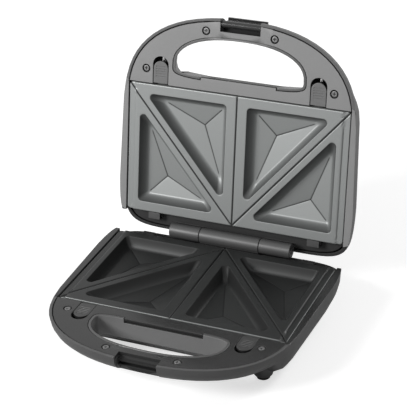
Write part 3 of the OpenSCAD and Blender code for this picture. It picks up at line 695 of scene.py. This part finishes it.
# %% Finishes for the pieces that stay as they are
STAYING = {
    "base_heater": tube, "lid_heater": tube, "base_tray": sheet, "lid_tray": sheet,
    "base_spring_left": spring_steel, "base_spring_right": spring_steel,
    "lid_spring_left": spring_steel, "lid_spring_right": spring_steel,
    "foot_front_left": rubber, "foot_front_right": rubber,
    "foot_rear_left": rubber, "foot_rear_right": rubber,
    "cable_gland": gland_rubber, "terminal_block": block, "thermostat": sheet,
    "thermal_fuse": sheet, "hinge_pin": drawn_steel, "latch_pin": drawn_steel,
    "lamp_lens_red": red_lens, "lamp_lens_green": green_lens, "lamp_bulbs": bulb}
for name, material in STAYING.items():
    nodes[name].data.materials.clear()
    nodes[name].data.materials.append(material)
print("dressed in place:", len(STAYING))

# %% [markdown]
# ## The cooking plates
# Each half of a plate is a cell that a diagonal cuts into two triangles, and
# each triangle has a cavity: a rounded rim, a curved wall, and a shallow
# pyramid for a floor whose creases are incised a little. A grid of squares
# would saw-tooth along the diagonals. So each triangle gets its own grid: one
# parameter runs round the triangle, the other runs from its outer border in to
# the pyramid's tip, and every edge of the relief follows a line of the grid.

# %% Sizes of the relief, in millimetres
TOP = -0.3                            # the plate's face, below the parting plane
RIM_Y, RIM_X, RIM_MID, RIDGE = 9.0, 11.5, 10.0, 13.0    # flat face left round the cavities
CAVITY_DEPTH, CAVITY_DISH, CAVITY_SLOPE, CAVITY_R = 10.0, 2.5, 7.5, 4.0
STEP_W, STEP_H = 6.0, 1.2             # the step down along each side
SKIRT_H, CAST_T, PLATE_R = 8.5, 2.6, 3.0
ACROSS = np.array([PLATE_D, HALF_W]) / np.hypot(PLATE_D, HALF_W)    # across the diagonal


def on_diagonal(x=None, y=None, off=0.0):
    """The point with this x or y whose distance from the diagonal line is off."""
    if x is None:
        return [(off - ACROSS[1] * (y - HALF_D)) / ACROSS[0], y]
    return [x, HALF_D + (off - ACROSS[0] * x) / ACROSS[1]]


def corner_triangle(x, y, off):
    """A cavity's corners: one at x, y, and two on lines beside the diagonal."""
    return [[x, y], on_diagonal(y=y, off=off), on_diagonal(x=x, off=off)]


INNER = {"outer": [[0, -HALF_D], [HALF_W, -HALF_D], [0, HALF_D]],
         "cavity": corner_triangle(RIM_MID, -HALF_D + RIM_Y, -RIDGE / 2)}
OUTER = {"outer": [[HALF_W, HALF_D], [0, HALF_D], [HALF_W, -HALF_D]],
         "cavity": corner_triangle(HALF_W - RIM_X, HALF_D - RIM_Y, RIDGE / 2)}
print("cavity corners:", np.round(INNER["cavity"], 1).tolist())

# %% [markdown]
# A ring is the triangle drawn in towards its inside circle, with round corners.
# All rings have the same number of points, so they can be strung into a grid.
# The outermost ring has sharp corners and still has its points at the same
# places along the sides.

# %% Rings round a triangle
ARC, SIDE = 12, 34                    # steps round a corner and along a side
SPREAD = 7.0                          # mm of a side that a sharp corner's points take


def in_circle(corners):
    """Centre and radius of the triangle's inside circle."""
    t = np.asarray(corners, float)
    sides = np.array([np.linalg.norm(t[1] - t[2]), np.linalg.norm(t[2] - t[0]),
                      np.linalg.norm(t[0] - t[1])])
    e, f = t[1] - t[0], t[2] - t[0]
    area = abs(e[0] * f[1] - e[1] * f[0])
    return (sides @ t) / sides.sum(), area / sides.sum()


def join_arcs(arcs):
    """A closed ring: each corner's arc, then even steps along the side to the next."""
    share = np.linspace(0, 1, SIDE + 1)[1:-1, None]
    points = []
    for i in range(3):
        start, stop = arcs[i][-1], arcs[(i + 1) % 3][0]
        points += [arcs[i], start * (1 - share) + stop * share]
    return np.concatenate(points)


def ring(corners, inset, radius):
    """The triangle drawn in by an inset, with corners of a radius: at each corner p an
    arc about c = p + w r / sin(half angle), where w halves the corner."""
    centre, reach = in_circle(corners)
    t = centre + (np.asarray(corners, float) - centre) * (reach - inset) / reach
    arcs = []
    for i in range(3):
        p, before, after = t[i], t[i - 1], t[(i + 1) % 3]
        u, v = unit(before - p), unit(after - p)
        w = unit(u + v)
        half = math.acos(np.clip(u @ v, -1, 1)) / 2
        c = p + w * radius / math.sin(half)
        a, b = p + u * radius / math.tan(half) - c, p + v * radius / math.tan(half) - c
        share = np.linspace(0, 1, ARC + 1)[:, None]
        d = a * (1 - share) + b * share
        arcs.append(c + radius * unit(d))
    return join_arcs(arcs)


def border(corners):
    """The sharp outer triangle with as many points as a ring: the points of each corner's
    arc lie on its two sides, the middle one at the corner itself."""
    t = np.asarray(corners, float)
    share = np.linspace(-1, 1, ARC + 1)[:, None]
    arcs = []
    for i in range(3):
        u, v = unit(t[i - 1] - t[i]), unit(t[(i + 1) % 3] - t[i])
        arcs.append(t[i] + np.where(share < 0, -share * u, share * v) * SPREAD)
    return join_arcs(arcs)


print("points in a ring:", len(border(INNER["outer"])))

# %% [markdown]
# The height of the plate's face comes from plain distances: to the outer edge,
# which is rounded; to the step along each side; to the middle line and the two
# diagonals, which are grooves. Inside a cavity the height follows the ring: a
# round lip and a hollow wall, then the pyramid, with a narrow dip along each
# crease.

# %% Heights
EDGE_ROUND, GROOVE_W, GROOVE_D, STEP_SOFT = 0.9, 0.75, 0.8, 0.5
LIP = 0.06                            # share of a wall that its rounded lip takes up


def face_height(p):
    """Height and hollow mask of the face at points p: rounded outer edge, side step, and
    grooves whose section is a bell of the distance to their line. The bell is also the mask of
    painted shade in the grooves."""
    x, y = np.abs(p[:, 0]), p[:, 1]
    edge = np.minimum(HALF_W - x, HALF_D - np.abs(y))
    inside = np.clip(1 - edge / EDGE_ROUND, 0, 1)
    drop = EDGE_ROUND * (1 - np.sqrt(1 - inside ** 2))
    step = STEP_H * smooth((x - (HALF_W - STEP_W - STEP_SOFT)) / STEP_SOFT)
    groove = np.minimum(x, np.abs(p[:, 0] * ACROSS[0] + (y - HALF_D) * ACROSS[1]))
    bell = np.exp(-(groove / GROOVE_W) ** 4)
    return TOP - drop - step - GROOVE_D * bell, bell


def wall_drop(share):
    """Depth down a cavity's wall: a small round at the lip, where u starts as the curve
    sqrt(t^2 + a^2) - a, then a hollow quarter wave sin(90 deg u) down to the floor."""
    u = (np.sqrt(share ** 2 + LIP ** 2) - LIP) / (math.sqrt(1 + LIP ** 2) - LIP)
    return CAVITY_DEPTH * np.sin(math.pi / 2 * u)


print("depth half way down a wall:", wall_drop(0.5).round(2))

# %% [markdown]
# A cell is strung from these rings. They lie close together where the relief
# turns sharply, at the outer edge, at the lip and at the foot of the wall. On
# the floor a few columns beside each crease keep their distance from it all the
# way to the tip, so that the incised line stays even.

# %% A cell of the plate
FACE_ROWS = (0, .012, .028, .05, .075, .1, .14, .2, .3, .42, .48, .5, .52, .55, .62, .74,
             .86, .94)                # shares of the way from the border to the lip
WALL_ROWS = np.linspace(0, 1, 21) ** 1.4
FLOOR_ROWS = (.012, .03, .06, .12, .2, .3, .4, .5, .6, .7, .8, .88, .94, .975)
CREASE_W, CREASE_D = 0.55, 0.16
CREASE_IN, CREASE_PAST = 0.06, 0.5    # share of the floor where it starts, mm past the tip
KEPT, KEPT_STEP = 3, 0.3              # columns on each side of a crease, mm between them
# painted shade: the coating's colour is darkened on the steep upper half of a wall, most just
# under the lip
WALL_SHADE = 0.85           # the coating is darker on the steep upper half of a wall


def creases(foot, tip):
    """For each corner of a cavity's floor: the column in its middle, and the unit
    vectors along and across the crease from there to the tip."""
    for i in range(3):
        mid = i * (ARC + SIDE) + ARC // 2
        along = unit(foot[mid] - tip)
        yield mid, along, np.array([-along[1], along[0]])


def floor_ring(foot, tip, share):
    """One ring of the floor: its points, height and crease mask, a bell of the distance
    to the nearest crease, which paints shade along the creases."""
    p = foot + (tip - foot) * share
    for mid, _, side in creases(foot, tip):
        columns = np.arange(mid - KEPT, mid + KEPT + 1)
        offset = (p[columns] - tip) @ side
        least = np.abs(columns - mid) * KEPT_STEP
        want = np.sign(offset) * np.maximum(np.abs(offset), least)
        want[KEPT] = 0
        p[columns] += ((want - offset)[:, None]) * side
    dip = np.zeros(len(p))
    for _, along, side in creases(foot, tip):
        away, ahead = np.abs((p - tip) @ side), (p - tip) @ along
        dip = np.maximum(dip, np.exp(-(away / CREASE_W) ** 2) * (ahead > -CREASE_PAST))
    dip *= smooth(share / CREASE_IN)
    return p, np.full(len(p), TOP - CAVITY_DEPTH - CAVITY_DISH * share) - CREASE_D * dip, dip


def cell(shape):
    """One triangle's grid, its mask of painted shade and its lowest point. Rings run from the
    outer border over the face, down the wall and over the floor to a small triangle."""
    corners = shape["cavity"]
    outer, rim = border(shape["outer"]), ring(corners, 0, CAVITY_R)
    tip = in_circle(corners)[0]
    rings = []
    for share in FACE_ROWS:
        p = outer * (1 - share) + rim * share
        rings.append((p, *face_height(p)))
    for share in WALL_ROWS:
        p = ring(corners, share * CAVITY_SLOPE, CAVITY_R * (1 - share / 2))
        mask = WALL_SHADE * smooth(share / LIP) * (1 - share)
        rings.append((p, np.full(len(p), TOP - wall_drop(share)), np.full(len(p), mask)))
    foot = rings[-1][0]
    rings += [floor_ring(foot, tip, share) for share in FLOOR_ROWS]
    points, heights, masks = (np.stack(rows) for rows in zip(*rings))
    grid = np.concatenate([points, heights[..., None]], -1)
    peak = np.array([[*tip, TOP - CAVITY_DEPTH - CAVITY_DISH - CREASE_D]])
    return grid, masks, peak


inner_cell, outer_cell = cell(INNER), cell(OUTER)
print("grid of a cell:", inner_cell[0].shape)

# %% [markdown]
# Two cells make the right half of the plate, and their mirror images the left.
# The casting's corners are round, so the sharp corners of the grids are bent in
# last. The mirrored grids come out inside out, so every face is turned upwards.

# %% Joining the cells into a plate


def square_to_round(p):
    """Bends the plate's square corners to their radius: within each corner square the
    point (u, v) moves to (u, v) max(u, v) / |(u, v)|."""
    q = p.copy()
    square = np.array([HALF_W - PLATE_R, HALF_D - PLATE_R])
    uv = (np.abs(q) - square) / PLATE_R
    at = (uv > 0).all(1)
    length = np.hypot(uv[at, 0], uv[at, 1])
    bent = uv[at] * (uv[at].max(1) / length)[:, None] * PLATE_R
    q[at] = np.sign(q[at]) * (square + bent)
    return q


def ring_faces(rows, count, start):
    """Four-cornered faces between neighbouring closed rings of the same length."""
    i, j = np.meshgrid(np.arange(rows - 1), np.arange(count), indexing="ij")
    a, b = start + i * count + j, start + i * count + (j + 1) % count
    return np.stack([a, b, b + count, a + count], -1).reshape(-1, 4)


def face_up(points, faces):
    """Turns the faces whose normal points down."""
    p = points[faces[:, :3]]
    normal = np.cross(p[:, 1] - p[:, 0], p[:, 2] - p[:, 0])[:, 2]
    faces[normal < 0] = faces[normal < 0][:, ::-1]
    return faces


def plate_top():
    """The plate's whole upper face: two cells, and their mirror images."""
    points, quads, tris, masks, start = [], [], [], [], 0
    for sign in (1, -1):
        for grid, mask, peak in (inner_cell, outer_cell):
            rows, count = mask.shape
            p = np.concatenate([grid.reshape(-1, 3), peak])
            p[:, 0] *= sign
            points.append(p)
            masks.append(np.concatenate([mask.ravel(), [1.0]]))
            quads.append(ring_faces(rows, count, start))
            last = start + (rows - 1) * count + np.arange(count)
            tip = np.full(count, start + rows * count)
            tris.append(np.stack([last, np.roll(last, -1), tip], -1))
            start += len(p)
    points = np.concatenate(points)
    quads, tris = face_up(points, np.concatenate(quads)), face_up(points, np.concatenate(tris))
    points[:, :2] = square_to_round(points[:, :2])
    return points, np.concatenate(masks), quads.tolist() + tris.tolist()


top_points, top_mask, top_faces = plate_top()
print("plate's face:", len(top_points), "points,", len(top_faces), "faces")

# %% [markdown]
# A casting has a thickness: the face turns down into a skirt, and the underside
# follows the cavities one wall lower. Neighbouring faces run along their common
# edge in opposite directions, so an edge that is used in one direction only
# lies on the border. From there a few rings go down the skirt, round its foot
# and up inside it.

# %% Skirt and underside
# inset and height over the foot of each ring
SKIRT_RINGS = ((0, 0.4), (0.12, 0.12), (0.4, 0), (CAST_T - 0.3, 0), (CAST_T, 0.3))
DRAWN_X, DRAWN_Y = 100, 55            # further out the underside is drawn in


def border_loop(faces):
    """Indices of the border's points in order, found from the edges used one way only."""
    used = dict.fromkeys((a, b) for f in faces for a, b in zip(f, f[1:] + f[:1]))
    follow = {a: b for a, b in used if (b, a) not in used}
    first = next(iter(follow))
    loop = [first]
    while follow[loop[-1]] != first:
        loop.append(follow[loop[-1]])
    return np.array(loop)


def merge(points, mask, faces):
    """Welds points of the cells that coincide on their common borders."""
    index, inverse = np.unique(np.round(points, 3), axis=0, return_index=True,
                               return_inverse=True)[1:]
    inverse = inverse.ravel()
    out = []
    for f in faces:
        g = [int(inverse[i]) for i in f]
        g = [a for a, b in zip(g, g[1:] + g[:1]) if a != b]
        if len(g) > 2:
            out.append(g)
    return points[index], mask[index], out


def drawn_in(values, start, limit):
    """Beyond the start, shrinks coordinates so that the limit moves in by CAST_T."""
    size = np.abs(values)
    shrunk = start + (size - start) * (limit - CAST_T - start) / (limit - start)
    return np.sign(values) * np.where(size > start, shrunk, size)


def skirt_rings(rim):
    """Rings below the border, each moved in along the outline's normal: down the skirt,
    round its foot, and up inside it to the underside."""
    centre = rim[:, :2]
    square = np.array([HALF_W - PLATE_R, HALF_D - PLATE_R])
    normal = unit(centre - np.clip(centre, -square, square))
    foot = TOP - SKIRT_H
    levels = [(inset, foot + lift) for inset, lift in SKIRT_RINGS]
    levels.append((CAST_T, rim[:, 2].min() - CAST_T))
    return [np.concatenate([centre - normal * inset, np.full((len(rim), 1), z)], 1)
            for inset, z in levels]


def plate_solid():
    """The casting: upper face, skirt with a rounded foot, and the lowered underside."""
    points, mask, faces = merge(top_points, top_mask, top_faces)
    loop = border_loop(faces)
    skirt = skirt_rings(points[loop])
    under = np.stack([drawn_in(points[:, 0], DRAWN_X, HALF_W),
                      drawn_in(points[:, 1], DRAWN_Y, HALF_D), points[:, 2] - CAST_T], -1)
    under[loop] = skirt[-1]
    n, m = len(points), len(loop)
    starts = [loop] + [n + k * m + np.arange(m) for k in range(len(skirt) - 1)]
    base_under = n + (len(skirt) - 1) * m
    starts.append(base_under + loop)
    strips = []
    for a, b in zip(starts, starts[1:]):
        strips += np.stack([np.roll(a, -1), a, b, np.roll(b, -1)], -1).tolist()
    below = [[base_under + i for i in f[::-1]] for f in faces]
    total = np.concatenate([points] + skirt[:-1] + [under])
    mask = np.concatenate([mask, np.zeros(len(total) - len(mask))])
    return total, mask, faces + strips + below


plate_points, plate_mask, plate_faces = plate_solid()
print("casting:", len(plate_points), "points,", len(plate_faces), "faces")

# %% [markdown]
# The two plates are one casting. In the lid it is mirrored, so its faces have to
# be turned round. Only the upper part of the outer edge gets a painted highlight, as
# deep as the side step and the round edge reach.

# %% Both plates
HIGHLIGHT_TO = -TOP + EDGE_ROUND + STEP_H + 0.1    # depth below the parting plane
PLATE_HARD = 50                       # degrees


def build_plate(side, material):
    """Puts the casting into the base or the lid, with its two masks: painted shade in the
    hollows and a painted highlight along the outer edge.
    """
    mesh = bpy.data.meshes.new(side + "_plate_cast")
    place = in_base if side == "base" else in_lid
    faces = plate_faces if side == "base" else [f[::-1] for f in plate_faces]
    mesh.from_pydata(place(plate_points).tolist(), [], faces)
    x, y, depth = np.abs(plate_points).T
    # painted highlight: a mask that brightens the coating along the upper outer edge of the
    # casting
    edge_highlight = 1 - np.clip(np.minimum(HALF_W - x, HALF_D - y) / EDGE_ROUND, 0, 1)
    edge_highlight *= depth < HIGHLIGHT_TO
    for label, values in (("hollow", plate_mask), ("edge_highlight", edge_highlight)):
        layer = mesh.attributes.new(label, "FLOAT", "POINT")
        layer.data.foreach_set("value", values.astype(np.float32))
    mesh.shade_smooth()
    mesh.set_sharp_from_angle(angle=math.radians(PLATE_HARD))
    mesh.materials.append(material)
    return new_object(side + "_plate_cast", mesh, side + "_plate")


base_plate = build_plate("base", base_coating)
lid_plate = build_plate("lid", lid_coating)
print("plates:", base_plate.name, lid_plate.name, len(lid_plate.data.polygons), "faces each")

# %% [markdown]
# ## Light and floor
# A light tent: a pale floor that runs on to the horizon, an even sky, one broad
# soft lamp in front and to the left, and a weaker one at the back right. The
# lamps stand low, so the upright lid gets more light than the flat base. The
# camera and the reflections see the sky as white, and for the camera alone the
# floor gives a little light of its own, so that only the shadow shows on it.

# %% Floor
FLOOR_REACH = 8.0                     # metres
FLOOR_LIFT = 0.64                     # added for the camera alone


def make_floor():
    """A wide flat sheet at z = 0 that shows white and keeps the toaster's shadow."""
    mesh = bpy.data.meshes.new("floor")
    r = FLOOR_REACH
    mesh.from_pydata([(-r, -r, 0), (r, -r, 0), (r, r, 0), (-r, r, 0)], [], [(0, 1, 2, 3)])
    floor = bpy.data.objects.new("floor", mesh)
    bpy.context.scene.collection.objects.link(floor)
    material = bpy.data.materials.new("pale_floor")
    material.use_nodes = True
    shader = material.node_tree.nodes["Principled BSDF"]
    shader.inputs["Base Color"].default_value = (0.58, 0.58, 0.58, 1)
    shader.inputs["Roughness"].default_value = 0.9
    shader.inputs["Specular IOR Level"].default_value = 0.1
    shader.inputs["Emission Color"].default_value = (1, 1, 1, 1)
    seen = add(material.node_tree, "ShaderNodeLightPath").outputs["Is Camera Ray"]
    feed(material.node_tree, shader.inputs["Emission Strength"],
         remap(material.node_tree, seen, 0, 1, 0.0, FLOOR_LIFT))
    mesh.materials.append(material)
    return floor


floor = make_floor()
print("floor:", floor.name, "lifted for the camera by", FLOOR_LIFT)

# %% [markdown]
# The sky does two jobs that need different strengths. As a light it has to be
# dim, or it would wash out the shadows. Seen in a glossy face it has to be as
# white as the walls of a light tent. The kind of ray that reaches it decides.

# %% World and lamps
SKY_LIGHT, SKY_SEEN = 0.22, 1.0
MIDDLE = (0, 0, 0.12)                 # where the lamps point


def make_sky():
    """An even sky: dim as a light, white to the camera and in reflections."""
    world = bpy.data.worlds.new("tent")
    bpy.context.scene.world = world
    world.use_nodes = True
    tree = world.node_tree
    back = tree.nodes["Background"]
    back.inputs["Color"].default_value = (1, 1, 1, 1)
    path = add(tree, "ShaderNodeLightPath")
    seen = path.outputs["Is Camera Ray"]
    for ray in ("Is Glossy Ray", "Is Transmission Ray"):
        seen = maths(tree, "ADD", seen, path.outputs[ray])
        seen.node.use_clamp = True
    feed(tree, back.inputs["Strength"], remap(tree, seen, 0, 1, SKY_LIGHT, SKY_SEEN))


def lamp(name, at, size, power):
    """A square soft lamp at a place in metres, turned to the middle, with its power in
    watts."""
    data = bpy.data.lights.new(name, "AREA")
    data.size, data.energy = size, power
    light = bpy.data.objects.new(name, data)
    bpy.context.scene.collection.objects.link(light)
    z = unit(np.array(at, float) - np.array(MIDDLE, float))
    x = unit(np.cross([0, 0, 1], z))
    light.matrix_world = turned(x, np.cross(z, x), z, at)
    return light


make_sky()
lamp("key_left", (-1.3, -1.45, 1.2), 0.75, 47)
lamp("back_right", (1.1, 1.4, 1.5), 0.8, 22)
bpy.context.scene.view_settings.view_transform = "Standard"

# %% [markdown]
# ## The end
# The last line brings the view layer up to date.

# %% Finish
bpy.context.view_layer.update()
